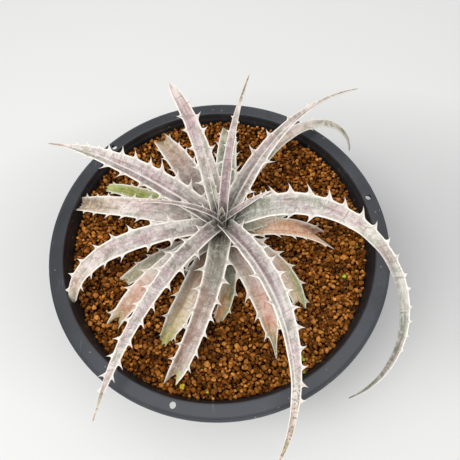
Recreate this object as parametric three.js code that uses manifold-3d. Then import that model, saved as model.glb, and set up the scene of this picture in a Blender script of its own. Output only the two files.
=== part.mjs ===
// A spiny silver rosette in a black plastic hanging pot, filled with baked clay granules.
// Millimetres and degrees, +Z up. The origin is the middle of the pot's flat base.

import * as THREE from "three";
import { mergeVertices } from "three/addons/utils/BufferGeometryUtils.js";
import Module from "manifold-3d";

const wasm = await Module();
wasm.setup();

// Pot
const potHeight = 120;
const lipRadius = 102.5;
const lipWidth = 9.2;
const lipBeadWidth = 1.7;
const lipBeadDrop = 1.6;
const skirtDrop = 6;
const skirtThickness = 1.6;
const ledgeDrop = 5;
const ledgeWidth = 1.1;
const baseRadius = 70;
const wallThickness = 2;
const floorThickness = 2.5;
const potSides = 60;
const hangerHoleRadius = 1.8;
const hangerHoleInset = 5.6;
const hangerHoleAngles = [13.4, 133.4, 253.4];
const drainHoleRadius = 4.5;
const drainRings = [{ radius: 26, count: 4 }, { radius: 52, count: 8 }];
const holeSides = 14;

// Soil
const soilHeight = 109;
const innerRing = 3;
const outerRing = 22;
const stemHoleRadius = 8.5;
const stemHoleDepth = 28;
const grainTop = 0.4;
const grainFoot = -1.3;
const grainUnevenness = 0.7;
const grainShift = 0.7;
const soilSeed = 41;

// Plant
const plantX = 3;
const plantY = 6;
const stemRadius = 8;
const stemTop = 26;
const stemSides = 20;
const toothSpacing = 10.5;
const spacingLossToTip = 0.25;
const bareRoot = 11;
const bareTip = 0.92;
const toothShareAtEnds = 0.55;
const toothShareInMiddle = 0.35;
const toothShareByChance = 0.25;
const edgeThickness = 0.9;
const channelSlope = 0.34;
const rootNarrowing = 0.65;
const rootFlare = 16;
const toothSeed = 7;

// Space left between pieces that touch, the smallest step kept when a cut piece is tidied, and how close
// two points are when they are joined
const seatGap = 0.3;
const cutGap = 0.34;
const smallestStep = 0.02;
const joinDistance = 1e-4;

const finishes = {
  plastic: { color: 0x3d3f43, roughness: 0.5, metalness: 0 },
  clay: { color: 0x8a4f22, roughness: 0.95, metalness: 0 },
  stem: { color: 0x8f8a78, roughness: 0.8, metalness: 0 },
  silver: { color: 0xb9aeb0, roughness: 0.75, metalness: 0 },
  greyGreen: { color: 0x9a9b8c, roughness: 0.75, metalness: 0 },
  green: { color: 0x94964f, roughness: 0.7, metalness: 0 },
  tan: { color: 0xb39f88, roughness: 0.8, metalness: 0 },
  pink: { color: 0xb18f80, roughness: 0.8, metalness: 0 },
  dry: { color: 0xc08a5c, roughness: 0.85, metalness: 0 },
};

// Blade thickness at the root and tip, width of the tip, tooth length, and how far teeth lean to the tip
const bladeKinds = {
  young: { thickness: 1.9, tipThickness: 1, tipWidth: 1.4, tooth: 2.6, lean: 20 },
  grown: { thickness: 3, tipThickness: 1.1, tipWidth: 1.4, tooth: 4.6, lean: 14 },
  old: { thickness: 2.2, tipThickness: 1, tipWidth: 5, tooth: 5, lean: 28 },
};

// Leaves from the topmost down. root is the distance from the plant's axis, height is above the soil.
// heading and rise give the way a leaf starts, sweep and droop what it turns by its tip, and a higher
// curl turns it later. taper says how far along the blade keeps its width.
const leaves = [
  { name: "leaf_inner_spike", kind: "young", finish: "greyGreen", root: 3.3, height: 17, heading: 85,
    sweep: 0, curl: 2, rise: 93, droop: 0, length: 19, width: 4.8, taper: 1.6 },
  { name: "leaf_inner_back_left", kind: "young", finish: "silver", root: 3, height: 24, heading: 107,
    sweep: 0, curl: 2, rise: 60, droop: 0, length: 44, width: 3.4, taper: 2 },
  { name: "leaf_inner_back", kind: "young", finish: "silver", root: 2, height: 25, heading: 76,
    sweep: -36, curl: 2, rise: 63, droop: 0, length: 86, width: 5.8, taper: 2.3 },
  { name: "leaf_inner_right", kind: "young", finish: "silver", root: 3, height: 25, heading: 22,
    sweep: -20, curl: 2, rise: 30, droop: 0, length: 31, width: 3.8, taper: 2 },
  { name: "leaf_inner_left", kind: "young", finish: "silver", root: 3, height: 25, heading: 158,
    sweep: 28, curl: 0.5, rise: 44, droop: 50, length: 57, width: 3.8, taper: 2 },
  { name: "leaf_upper_back_left", kind: "grown", finish: "silver", root: 4, height: 23, heading: 105,
    sweep: 23, curl: 2, rise: 56, droop: 25, length: 80, width: 10.5, taper: 2.6 },
  { name: "leaf_upper_back_right", kind: "grown", finish: "silver", root: 5, height: 22, heading: 55.2,
    sweep: -41.8, curl: 1.6, rise: 36, droop: 44, length: 114, width: 11, taper: 1.2 },
  { name: "leaf_upper_front", kind: "grown", finish: "silver", root: 5, height: 23, heading: 301,
    sweep: -61.6, curl: 1.7, rise: 38, droop: 80, length: 142, width: 13.5, taper: 1.3 },
  { name: "leaf_upper_right", kind: "grown", finish: "silver", root: 5, height: 20, heading: 8,
    sweep: -174, curl: 1.3, rise: 41, droop: 106, length: 199, width: 16, taper: 0.8, lean: -12 },
  { name: "leaf_upper_front_left", kind: "grown", finish: "silver", root: 5, height: 22, heading: 224,
    sweep: 22, curl: 0.7, rise: 29, droop: 63, length: 129, width: 10.5, taper: 1.4 },
  { name: "leaf_upper_left", kind: "grown", finish: "silver", root: 5, height: 20, heading: 151.5,
    sweep: 8, curl: 2, rise: 39, droop: 57, length: 114, width: 14, taper: 2 },
  { name: "leaf_upper_left_low", kind: "grown", finish: "silver", root: 6, height: 19, heading: 194,
    sweep: 71, curl: 4.7, rise: 33, droop: 79, length: 100, width: 12, taper: 4.5 },
  { name: "leaf_middle_front", kind: "grown", finish: "tan", root: 6, height: 19, heading: 262.2,
    sweep: -30, curl: 1.2, rise: 17, droop: 50, length: 92, width: 12, taper: 4 },
  { name: "leaf_middle_left", kind: "grown", finish: "silver", root: 7, height: 19, heading: 166.7,
    sweep: -7, curl: 2, rise: 12, droop: 40, length: 89, width: 14, taper: 4 },
  { name: "leaf_middle_back_right", kind: "grown", finish: "greyGreen", root: 6, height: 14,
    heading: 62, sweep: -54, curl: 1, rise: 34.5, droop: 113.5, length: 166, width: 9, taper: 2 },
  { name: "leaf_old_front_right", kind: "old", finish: "pink", root: 6, height: 12, heading: 296,
    sweep: -25, curl: 2, rise: 8, droop: 29, length: 78, width: 13, taper: 3 },
  { name: "leaf_old_right_grey", kind: "old", finish: "greyGreen", root: 6, height: 12, heading: 6,
    sweep: 0, curl: 2, rise: 4, droop: 20, length: 21, width: 8, taper: 2.6 },
  { name: "leaf_old_right_front", kind: "old", finish: "tan", root: 6, height: 10, heading: 325.5,
    sweep: -46, curl: 2, rise: 8, droop: 30, length: 60, width: 10, taper: 5 },
  { name: "leaf_old_left_front", kind: "old", finish: "pink", root: 6, height: 11, heading: 212,
    sweep: 21, curl: 2, rise: 4, droop: 20, length: 78, width: 12.4, taper: 5 },
  { name: "leaf_old_front_left", kind: "old", finish: "tan", root: 6, height: 10, heading: 243,
    sweep: -9, curl: 2, rise: 6, droop: 24, length: 68, width: 14, taper: 7 },
  { name: "leaf_old_back_left", kind: "old", finish: "tan", root: 6, height: 10, heading: 115.3,
    sweep: 10.7, curl: 2, rise: 4, droop: 18, length: 80, width: 15.5, taper: 5 },
  { name: "leaf_old_back", kind: "old", finish: "greyGreen", root: 6, height: 10, heading: 85, sweep: 0,
    curl: 2, rise: 4, droop: 19, length: 76, width: 13, taper: 4 },
  { name: "leaf_old_front", kind: "old", finish: "tan", root: 6, height: 8, heading: 275.5, sweep: -38,
    curl: 2, rise: 4, droop: 12, length: 50, width: 9, taper: 5 },
  { name: "leaf_old_right_back", kind: "old", finish: "green", root: 6, height: 8, heading: 18,
    sweep: 0, curl: 2, rise: 4, droop: 10, length: 60, width: 10, taper: 3 },
  { name: "leaf_old_right_dry", kind: "old", finish: "dry", root: 6, height: 8, heading: 3, sweep: -30,
    curl: 2, rise: 8, droop: 27, length: 59, width: 11, taper: 4 },
  { name: "leaf_old_left", kind: "old", finish: "green", root: 6, height: 8, heading: 148, sweep: 19,
    curl: 2, rise: 4, droop: 10, length: 76, width: 9, taper: 5 },
  { name: "leaf_old_right_under", kind: "old", finish: "tan", root: 6, height: 6, heading: 305,
    sweep: 0, curl: 2, rise: 3, droop: 7, length: 64, width: 10, taper: 3 },
  { name: "leaf_old_left_under", kind: "old", finish: "greyGreen", root: 6, height: 6, heading: 200.5,
    sweep: 15, curl: 2, rise: 3, droop: 7, length: 60, width: 9.6, taper: 4 },
];

const degrees = THREE.MathUtils.degToRad;

// The same draws between 0 and 1 on every run
function drawsFrom(seed) {
  let state = seed;
  return () => {
    state = (Math.imul(state, 1664525) + 1013904223) >>> 0;
    return state / 4294967296;
  };
}

function geometryFrom(points, triangles) {
  const geometry = new THREE.BufferGeometry();
  const flat = points.flatMap((point) => [point.x, point.y, point.z]);
  geometry.setAttribute("position", new THREE.Float32BufferAttribute(flat, 3));
  geometry.setIndex(triangles.flat());
  return geometry;
}

function solidFrom(geometry) {
  const bare = geometry.clone();
  bare.deleteAttribute("normal");
  bare.deleteAttribute("uv");
  const merged = mergeVertices(bare, joinDistance);
  return new wasm.Manifold(new wasm.Mesh({
    numProp: 3,
    vertProperties: new Float32Array(merged.attributes.position.array),
    triVerts: new Uint32Array(merged.index.array),
  }));
}

function geometryOf(solid) {
  const cut = solid.getMesh();
  const geometry = new THREE.BufferGeometry();
  geometry.setAttribute("position", new THREE.BufferAttribute(cut.vertProperties, 3));
  geometry.setIndex(new THREE.BufferAttribute(cut.triVerts, 1));
  return geometry;
}

// What is left of a piece once its neighbours' room is taken away, without loose scraps
function cutBack(solid, cutters) {
  let left = solid;
  for (const cutter of cutters) {
    left = left.subtract(cutter);
  }
  const pieces = left.decompose();
  const largest = pieces.reduce((best, piece) => (piece.volume() > best.volume() ? piece : best));
  return largest.simplify(smallestStep);
}

function namedMesh(name, geometry, finish) {
  const mesh = new THREE.Mesh(geometry, new THREE.MeshStandardMaterial(finishes[finish]));
  mesh.name = name;
  return mesh;
}

// A profile of [radius, height] pairs turned about the upright axis
function turned(profile, sides) {
  const outline = profile.map(([radius, height]) => new THREE.Vector2(radius, height));
  const geometry = new THREE.LatheGeometry(outline, sides);
  geometry.rotateX(Math.PI / 2);
  return geometry;
}

function uprightHole(radius, circle, angle, low, high) {
  const geometry = new THREE.CylinderGeometry(radius, radius, high - low, holeSides);
  geometry.rotateX(Math.PI / 2);
  geometry.translate(circle * Math.cos(angle), circle * Math.sin(angle), (low + high) / 2);
  return solidFrom(geometry);
}

const ledgeHeight = potHeight - ledgeDrop;
const ledgeRadius = lipRadius - lipWidth - ledgeWidth;
const floorRadius = baseRadius - wallThickness;

function potProfile() {
  const edgeRound = 0.6;
  const footRound = 1;
  const lipUnderside = potHeight - wallThickness;
  const lipInner = lipRadius - lipWidth;
  const skirtInner = lipRadius - skirtThickness;
  const wallOuter = ledgeRadius + wallThickness;
  return [
    [0, 0],
    [baseRadius - footRound, 0],
    [baseRadius, footRound],
    [wallOuter, ledgeHeight - edgeRound],
    [wallOuter + edgeRound, lipUnderside],
    [skirtInner, lipUnderside],
    [skirtInner, potHeight - skirtDrop],
    [lipRadius, potHeight - skirtDrop],
    [lipRadius, potHeight - lipBeadDrop],
    [lipRadius - lipBeadWidth + edgeRound, potHeight - lipBeadDrop],
    [lipRadius - lipBeadWidth, potHeight],
    [lipInner + edgeRound, potHeight],
    [lipInner, potHeight - edgeRound],
    [lipInner, ledgeHeight],
    [ledgeRadius, ledgeHeight - edgeRound],
    [floorRadius, floorThickness],
    [0, floorThickness],
  ];
}

function makePot() {
  const beyond = 1;
  const hangerCircle = lipRadius - hangerHoleInset;
  const holes = hangerHoleAngles.map((angle) => uprightHole(hangerHoleRadius, hangerCircle, degrees(angle),
    potHeight - wallThickness - beyond, potHeight + beyond));
  for (const ring of drainRings) {
    for (let i = 0; i < ring.count; i += 1) {
      const angle = (2 * Math.PI * (i + 0.5)) / ring.count;
      holes.push(uprightHole(drainHoleRadius, ring.radius, angle, -beyond, floorThickness + beyond));
    }
  }
  const body = solidFrom(turned(potProfile(), potSides));
  return namedMesh("pot", geometryOf(cutBack(body, holes)), "plastic");
}

// How far the soil reaches at a height: the pot's inner wall, less what its flat sides and the gap take
function soilRadius(height) {
  const slope = (ledgeRadius - floorRadius) / (ledgeHeight - floorThickness);
  const wall = floorRadius + slope * (height - floorThickness);
  return wall * Math.cos(Math.PI / potSides) - seatGap;
}

// Height of one point of the soil. One point in three stands up as the top of a lump of grains
function grainHeight(ring, step, draw) {
  const isTop = (ring + step) % 3 === 0;
  return soilHeight + (isTop ? grainTop : grainFoot) + (draw() - 0.5) * grainUnevenness;
}

// Top of the soil: rings of six points more each time, from the stem's hole out to the pot's wall
function soilTop(points, triangles) {
  const draw = drawsFrom(soilSeed);
  const starts = [];
  for (let ring = innerRing; ring <= outerRing; ring += 1) {
    const out = (ring - innerRing) / (outerRing - innerRing);
    const shift = ring === innerRing || ring === outerRing ? 0 : grainShift;
    starts[ring] = points.length;
    for (let i = 0; i < 6 * ring; i += 1) {
      const even = THREE.MathUtils.lerp(stemHoleRadius, soilRadius(soilHeight), out);
      const radius = even + (draw() - 0.5) * shift;
      const angle = (Math.PI * i) / (3 * ring) + ((draw() - 0.5) * shift) / radius;
      points.push(new THREE.Vector3(
        plantX * (1 - out) + radius * Math.cos(angle),
        plantY * (1 - out) + radius * Math.sin(angle),
        grainHeight(ring, i % ring, draw),
      ));
    }
  }
  for (let ring = innerRing + 1; ring <= outerRing; ring += 1) {
    const outer = (i) => starts[ring] + (i % (6 * ring));
    const inner = (i) => starts[ring - 1] + (i % (6 * (ring - 1)));
    for (let i = 0; i < 6 * ring; i += 1) {
      const step = i % ring;
      const facing = i - Math.floor(i / ring);
      triangles.push([inner(facing), outer(i), outer(i + 1)]);
      if (step < ring - 1) {
        triangles.push([inner(facing), outer(i + 1), inner(facing + 1)]);
      }
    }
  }
  return starts;
}

// A level ring of points, and its first index
function addRing(points, count, radius, x, y, height) {
  const start = points.length;
  for (let i = 0; i < count; i += 1) {
    const angle = (2 * Math.PI * i) / count;
    points.push(new THREE.Vector3(x + radius * Math.cos(angle), y + radius * Math.sin(angle), height));
  }
  return start;
}

function addWall(triangles, upper, lower, count) {
  for (let i = 0; i < count; i += 1) {
    const next = (i + 1) % count;
    triangles.push([upper + i, lower + i, lower + next]);
    triangles.push([upper + i, lower + next, upper + next]);
  }
}

function addDisc(triangles, start, count, facesUp) {
  for (let i = 1; i < count - 1; i += 1) {
    triangles.push(facesUp ? [start, start + i, start + i + 1] : [start, start + i + 1, start + i]);
  }
}

function makeSoil() {
  const points = [];
  const triangles = [];
  const starts = soilTop(points, triangles);
  const foot = floorThickness + seatGap;
  const sideCount = 6 * outerRing;
  const bottom = addRing(points, sideCount, soilRadius(foot), 0, 0, foot);
  addWall(triangles, starts[outerRing], bottom, sideCount);
  addDisc(triangles, bottom, sideCount, false);
  const holeCount = 6 * innerRing;
  const holeFoot = addRing(points, holeCount, stemHoleRadius, plantX, plantY, soilHeight - stemHoleDepth);
  addWall(triangles, holeFoot, starts[innerRing], holeCount);
  addDisc(triangles, holeFoot, holeCount, true);
  return namedMesh("soil", geometryFrom(points, triangles), "clay");
}

// Which way the leaf runs at a share s of its length: forward, to the right of it, and up from its face
function leafDirections(leaf, s) {
  const heading = degrees(leaf.heading + leaf.sweep * s ** leaf.curl);
  const pitch = degrees(leaf.rise - leaf.droop * s);
  const forward = new THREE.Vector3(
    Math.cos(pitch) * Math.cos(heading),
    Math.cos(pitch) * Math.sin(heading),
    Math.sin(pitch),
  );
  const right = new THREE.Vector3(Math.sin(heading), -Math.cos(heading), 0);
  return { forward, right, up: right.clone().cross(forward) };
}

// Middle line of a leaf, as places that come closer together towards the tip
function leafLine(leaf, rows) {
  const shareAt = (row) => (row / rows) * (1 + spacingLossToTip * (1 - row / rows));
  const substeps = 4;
  const start = degrees(leaf.heading);
  const point = new THREE.Vector3(
    plantX + leaf.root * Math.cos(start),
    plantY + leaf.root * Math.sin(start),
    soilHeight + leaf.height,
  );
  const line = [{ s: 0, point: point.clone(), ...leafDirections(leaf, 0) }];
  for (let i = 0; i < rows * substeps; i += 1) {
    const from = shareAt(i / substeps);
    const to = shareAt((i + 1) / substeps);
    point.addScaledVector(leafDirections(leaf, (from + to) / 2).forward, (to - from) * leaf.length);
    if ((i + 1) % substeps === 0) {
      line.push({ s: to, point: point.clone(), ...leafDirections(leaf, to) });
    }
  }
  return line;
}

function bladeWidth(leaf, s) {
  const flare = Math.min(1, (s * leaf.length) / rootFlare);
  const rootShare = rootNarrowing + (1 - rootNarrowing) * flare * (2 - flare);
  return Math.max(bladeKinds[leaf.kind].tipWidth, leaf.width * rootShare * (1 - s ** leaf.taper));
}

// Six corners of the channelled section: left edge, middle and right edge above, then back underneath
function bladeSection(leaf, place, grow) {
  const kind = bladeKinds[leaf.kind];
  const half = bladeWidth(leaf, place.s) / 2;
  const thickness = THREE.MathUtils.lerp(kind.thickness, kind.tipThickness, place.s);
  const edge = (half * channelSlope) / 2;
  const corner = (side, lift) => place.point.clone()
    .addScaledVector(place.right, side * (half + grow))
    .addScaledVector(place.up, lift);
  return [
    corner(-1, edge + grow),
    corner(0, grow - edge),
    corner(1, edge + grow),
    corner(1, edge - edgeThickness - grow),
    corner(0, -edge - thickness - grow),
    corner(-1, edge - edgeThickness - grow),
  ];
}

// A thorn over one face of the blade's edge: a narrow waist part of the way out, then the point.
// The waist leans less than the point
function addTooth(points, triangles, base, place, side, length, lean, grow) {
  const waistShare = 0.4;
  const waistWidth = 0.36;
  const waistThickness = 0.8;
  const waistLean = lean / 3;
  const corners = base.map((index) => points[index]);
  const centre = new THREE.Vector3();
  corners.forEach((corner) => centre.addScaledVector(corner, 1 / corners.length));
  const outward = place.right.clone().multiplyScalar(side);
  outward.addScaledVector(place.up, channelSlope).normalize();
  const leaning = (angle) => outward.clone().multiplyScalar(Math.cos(degrees(angle)))
    .addScaledVector(place.forward, Math.sin(degrees(angle)));
  const waist = centre.clone().addScaledVector(leaning(waistLean), length * waistShare);
  const first = points.length;
  for (const corner of corners) {
    const spread = corner.clone().sub(centre);
    const along = spread.dot(place.forward);
    points.push(waist.clone()
      .addScaledVector(place.forward, along * waistWidth + Math.sign(along) * grow)
      .addScaledVector(place.up, spread.dot(place.up) * waistThickness));
  }
  points.push(centre.clone().addScaledVector(leaning(lean), length + 3 * grow));
  for (let i = 0; i < 4; i += 1) {
    const next = (i + 1) % 4;
    triangles.push([base[i], base[next], first + next]);
    triangles.push([base[i], first + next, first + i]);
    triangles.push([first + i, first + next, first + 4]);
  }
}

// One leaf as a closed surface. grow makes the same leaf fatter all round, to cut its neighbours with
function leafGeometry(leaf, grow) {
  const kind = bladeKinds[leaf.kind];
  const draw = drawsFrom(toothSeed + leaves.indexOf(leaf));
  const rows = Math.round((2 * leaf.length) / toothSpacing);
  const line = leafLine(leaf, rows);
  line[0].point.addScaledVector(line[0].forward, -grow);
  line[rows].point.addScaledVector(line[rows].forward, grow);
  const points = line.flatMap((place) => bladeSection(leaf, place, grow));
  const last = rows * 6;
  const triangles = [[4, 1, 0], [5, 4, 0], [3, 2, 1], [4, 3, 1]];
  triangles.push([last, last + 1, last + 4], [last, last + 4, last + 5]);
  triangles.push([last + 1, last + 2, last + 3], [last + 1, last + 3, last + 4]);
  for (let row = 0; row < rows; row += 1) {
    const near = row * 6;
    const far = near + 6;
    const middle = (line[row].s + line[row + 1].s) / 2;
    const hasTooth = middle * leaf.length > bareRoot && middle < bareTip;
    const toothShare = toothShareAtEnds + toothShareInMiddle * Math.sin(Math.PI * middle)
      + toothShareByChance * draw();
    for (let side = 0; side < 6; side += 1) {
      const next = (side + 1) % 6;
      const face = [near + side, near + next, far + next, far + side];
      if (hasTooth && side === (row % 2 === 0 ? 5 : 2)) {
        const way = side === 5 ? -1 : 1;
        addTooth(points, triangles, face, line[row], way, kind.tooth * toothShare,
          leaf.lean ?? kind.lean, grow);
      } else if (side < 3) {
        triangles.push([face[0], face[1], face[2]], [face[0], face[2], face[3]]);
      } else {
        triangles.push([face[0], face[1], face[3]], [face[1], face[2], face[3]]);
      }
    }
  }
  return geometryFrom(points, triangles);
}

// Each leaf gives way to the leaves above it, where their bases overlap round the stem
function makeLeaves() {
  const room = leaves.map((leaf) => solidFrom(leafGeometry(leaf, cutGap)));
  const meshes = leaves.map((leaf, i) => {
    const blade = cutBack(solidFrom(leafGeometry(leaf, 0)), room.slice(0, i));
    return namedMesh(leaf.name, geometryOf(blade), leaf.finish);
  });
  return { meshes, room };
}

// The short stem, let into the soil, with a seat cut for each leaf
function makeStem(room) {
  const foot = seatGap - stemHoleDepth;
  const profile = [
    [0, foot],
    [0.6 * stemRadius, foot],
    [0.95 * stemRadius, foot / 2],
    [stemRadius, 0],
    [stemRadius, 0.3 * stemTop],
    [0.82 * stemRadius, 0.6 * stemTop],
    [0.52 * stemRadius, 0.8 * stemTop],
    [0.2 * stemRadius, 0.96 * stemTop],
    [0, stemTop],
  ];
  const geometry = turned(profile, stemSides);
  geometry.translate(plantX, plantY, soilHeight);
  return namedMesh("stem", geometryOf(cutBack(solidFrom(geometry), room)), "stem");
}

const { meshes, room } = makeLeaves();
const plant = new THREE.Group();
plant.add(...meshes, makeStem(room));

const potted = new THREE.Group();
potted.add(makePot(), makeSoil(), plant);

export default potted;
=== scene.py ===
import math
import random

import bpy
import bmesh
from mathutils import Matrix, Vector, noise


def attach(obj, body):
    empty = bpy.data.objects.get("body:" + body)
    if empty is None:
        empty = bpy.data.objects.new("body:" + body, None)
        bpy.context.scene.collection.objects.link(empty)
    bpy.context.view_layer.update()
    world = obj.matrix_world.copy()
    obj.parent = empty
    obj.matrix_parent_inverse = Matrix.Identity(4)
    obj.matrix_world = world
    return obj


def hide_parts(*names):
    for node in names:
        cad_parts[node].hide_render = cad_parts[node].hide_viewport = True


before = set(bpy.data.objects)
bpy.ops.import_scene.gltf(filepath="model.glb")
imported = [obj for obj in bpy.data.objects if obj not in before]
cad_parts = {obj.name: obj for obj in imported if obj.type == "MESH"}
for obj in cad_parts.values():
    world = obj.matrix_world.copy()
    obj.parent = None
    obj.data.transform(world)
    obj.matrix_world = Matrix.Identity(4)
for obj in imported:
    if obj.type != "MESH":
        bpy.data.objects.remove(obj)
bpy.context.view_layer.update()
mm = 0.001

axisPlace = {"x": 3, "y": 6, "soil": 109}    # the plant's axis and the level of the granules

camera = {"target": (7.2, 5.2, 120), "distance": 283.8, "elevation": 65.43, "roll": -3.17, "lens": 36.6, "sensor": 36}

lights = {
    "world": (238, 239, 240), "worldStrength": 0.84, "aim": (0, 0, 100),
    "key": {"size": 320, "place": (-320, -200, 900), "power": 3.2, "gloss": False},
    "fill": {"size": 620, "place": (20, -60, 900), "power": 1.9, "gloss": True},
}

floorPaper = {
    "tone": (227, 227, 225), "cloudy": 0.985, "half": 3000,
    # painted shadow round the pot and toward the back, and painted light a little paler in front
    "patches": (
        {"tone": (190, 190, 189), "middle": (60, 50), "stretch": (1, 2), "reach": (90, 340), "share": 0.95},
        {"tone": (229, 229, 227), "middle": (0, -170), "stretch": (0.5, 1), "reach": (30, 150), "share": 1},
    ),
}


def linear(colour):
    # from seen to linear light
    return tuple(c / 255 / 12.92 if c <= 10 else ((c / 255 + 0.055) / 1.055) ** 2.4 for c in colour)


def blend(a, b, share):
    return tuple(x + (y - x) * share for x, y in zip(a, b))


def smooth(low, high, value):
    share = min(1, max(0, (value - low) / (high - low)))
    return share * share * (3 - 2 * share)


# Nodes: put() makes one, feed() sets or links its inputs, and the rest are the few kinds used over and over
def feed(tree, node, inputs):
    for name, value in inputs.items():
        if isinstance(value, bpy.types.NodeSocket):
            tree.links.new(value, node.inputs[name])
        else:
            node.inputs[name].default_value = value


def put(tree, kind, inputs=None, **settings):
    node = tree.nodes.new(kind)
    for name, value in settings.items():
        setattr(node, name, value)
    feed(tree, node, inputs or {})
    return node


def objectPlace(tree):
    return put(tree, "ShaderNodeTexCoord").outputs["Object"]


def painted(tree, name, output="Fac"):
    # what paint() has left on the points
    return put(tree, "ShaderNodeAttribute", attribute_name=name).outputs[output]


def stretched(tree, vector, stretch):
    return put(tree, "ShaderNodeVectorMath", {0: vector, 1: stretch}, operation="MULTIPLY").outputs[0]


def grainNoise(tree, vector, stretch, detail=3, roughness=0.55, distortion=0):
    return put(tree, "ShaderNodeTexNoise", {"Vector": stretched(tree, vector, stretch), "Scale": 1, "Detail": detail,
                                            "Roughness": roughness, "Distortion": distortion}).outputs[0]


def cells(tree, vector, stretch):
    return put(tree, "ShaderNodeTexVoronoi", {"Vector": stretched(tree, vector, stretch), "Scale": 1}).outputs


def between(tree, value, low, high, bottom=0, top=1):
    return put(tree, "ShaderNodeMapRange", {"Value": value, "From Min": low, "From Max": high,
                                            "To Min": bottom, "To Max": top}).outputs[0]


def maths(tree, kind, a, b=0):
    return put(tree, "ShaderNodeMath", {0: a, 1: b}, operation=kind).outputs[0]


def times(tree, a, b):
    return maths(tree, "MULTIPLY", a, b)


def mixed(tree, share, a, b, kind="MIX"):
    a = a if isinstance(a, bpy.types.NodeSocket) else (*a, 1)
    b = b if isinstance(b, bpy.types.NodeSocket) else (*b, 1)
    return put(tree, "ShaderNodeMix", {0: share, 6: a, 7: b}, data_type="RGBA", blend_type=kind).outputs[2]


def tinted(tree, colour, layer, low, high, share, tint):
    # lays a tint on the colour where the layer goes from low to high
    return mixed(tree, between(tree, layer, low, high, 0, share), colour, linear(tint))


def relief(tree, height, depth, strength):
    return put(tree, "ShaderNodeBump", {"Height": height, "Distance": depth * mm, "Strength": strength}).outputs[0]


def newFinish(name):
    finish = bpy.data.materials.new(name)
    finish.use_nodes = True
    return finish, finish.node_tree, finish.node_tree.nodes["Principled BSDF"]


def shadeSmooth(mesh, roundAngle=None):
    mesh.polygons.foreach_set("use_smooth", [True] * len(mesh.polygons))
    if roundAngle:
        mesh.set_sharp_from_angle(angle=math.radians(roundAngle))


def newPiece(name, points, faces, finish, materialSlot=None, node=None, roundAngle=None):
    # points in millimetres
    mesh = bpy.data.meshes.new(name)
    mesh.from_pydata([(x * mm, y * mm, z * mm) for x, y, z in points], [], faces)
    mesh.validate()
    shadeSmooth(mesh, roundAngle)
    mesh.materials.append(finish)
    piece = bpy.data.objects.new(name, mesh)
    bpy.context.scene.collection.objects.link(piece)
    if materialSlot:
        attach(piece, "root")
    if node:
        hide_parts(node)
    return piece


def paint(piece, name, kind, values):
    layer = piece.data.attributes.new(name, kind, "POINT")
    key = {"FLOAT": "value", "FLOAT_VECTOR": "vector", "FLOAT_COLOR": "color"}[kind]
    flat = values if kind == "FLOAT" else [number for value in values for number in value]
    layer.data.foreach_set(key, flat)


def onCircle(radius, share):
    # the point at this share of a full turn
    angle = 2 * math.pi * share
    return radius * math.cos(angle), radius * math.sin(angle)


def ringFaces(low, high, around):
    # the faces between two rings of points
    return [(low + i, low + (i + 1) % around, high + (i + 1) % around, high + i) for i in range(around)]


# Camera, lights and floor
def standAt(thing, name, place, turn):
    stand = bpy.data.objects.new(name, thing)
    stand.matrix_world = Matrix.Translation(place) @ turn.to_matrix().to_4x4()
    bpy.context.scene.collection.objects.link(stand)
    return stand


def placeCamera():
    elevation = math.radians(camera["elevation"])
    back = Vector((0, -math.cos(elevation), math.sin(elevation)))
    lens = bpy.data.cameras.new("camera")
    lens.lens, lens.sensor_width, lens.clip_start = camera["lens"], camera["sensor"], 10 * mm
    turn = back.to_track_quat("Z", "Y") @ Matrix.Rotation(math.radians(camera["roll"]), 3, "Z").to_quaternion()
    place = (Vector(camera["target"]) + back * camera["distance"]) * mm
    bpy.context.scene.camera = standAt(lens, "camera", place, turn)


def placeLight(name):
    light = lights[name]
    lamp = bpy.data.lights.new(name, "AREA")
    lamp.energy, lamp.shape, lamp.size = light["power"], "DISK", light["size"] * mm
    place = Vector(light["place"]) * mm
    turn = (place - Vector(lights["aim"]) * mm).to_track_quat("Z", "Y")
    standAt(lamp, name, place, turn).visible_glossy = light["gloss"]


def placeSky():
    world = bpy.data.worlds.new("studio")
    world.use_nodes = True
    feed(world.node_tree, world.node_tree.nodes["Background"],
         {"Color": (*linear(lights["world"]), 1), "Strength": lights["worldStrength"]})
    bpy.context.scene.world = world


def paintedLightingPatch(tree, place, colour, patch):
    # a soft patch of another tone, as wide as its reach: painted shadow where the tone is darker, painted light where
    # it is paler
    x, y = patch["stretch"]
    middle = (patch["middle"][0] * x * mm, patch["middle"][1] * y * mm, 0)
    away = put(tree, "ShaderNodeVectorMath", {0: stretched(tree, place, (x, y, 0)), 1: middle},
               operation="DISTANCE").outputs["Value"]
    near, far = (reach * mm for reach in patch["reach"])
    return mixed(tree, between(tree, away, near, far, patch["share"], 0), colour, linear(patch["tone"]))


def makeFloor():
    finish, tree, shader = newFinish("floor_paper")
    place = objectPlace(tree)
    pale = linear(floorPaper["tone"])
    cloudy = grainNoise(tree, place, (3, 3, 3), 2)
    colour = mixed(tree, between(tree, cloudy, 0.3, 0.7), pale, [c * floorPaper["cloudy"] for c in pale])
    # painted shadow round the pot, painted light in front
    for patch in floorPaper["patches"]:
        colour = paintedLightingPatch(tree, place, colour, patch)
    feed(tree, shader, {"Base Color": colour, "Roughness": 0.75, "Specular IOR Level": 0.2})
    half = floorPaper["half"]
    corners = [(-half, -half, 0), (half, -half, 0), (half, half, 0), (-half, half, 0)]
    floor = newPiece("floor", corners, [(0, 1, 2, 3)], finish)


bpy.context.scene.view_settings.view_transform = "Standard"
placeCamera()
placeSky()
placeLight("key")
placeLight("fill")
makeFloor()
print("camera, lights and floor done")


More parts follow.
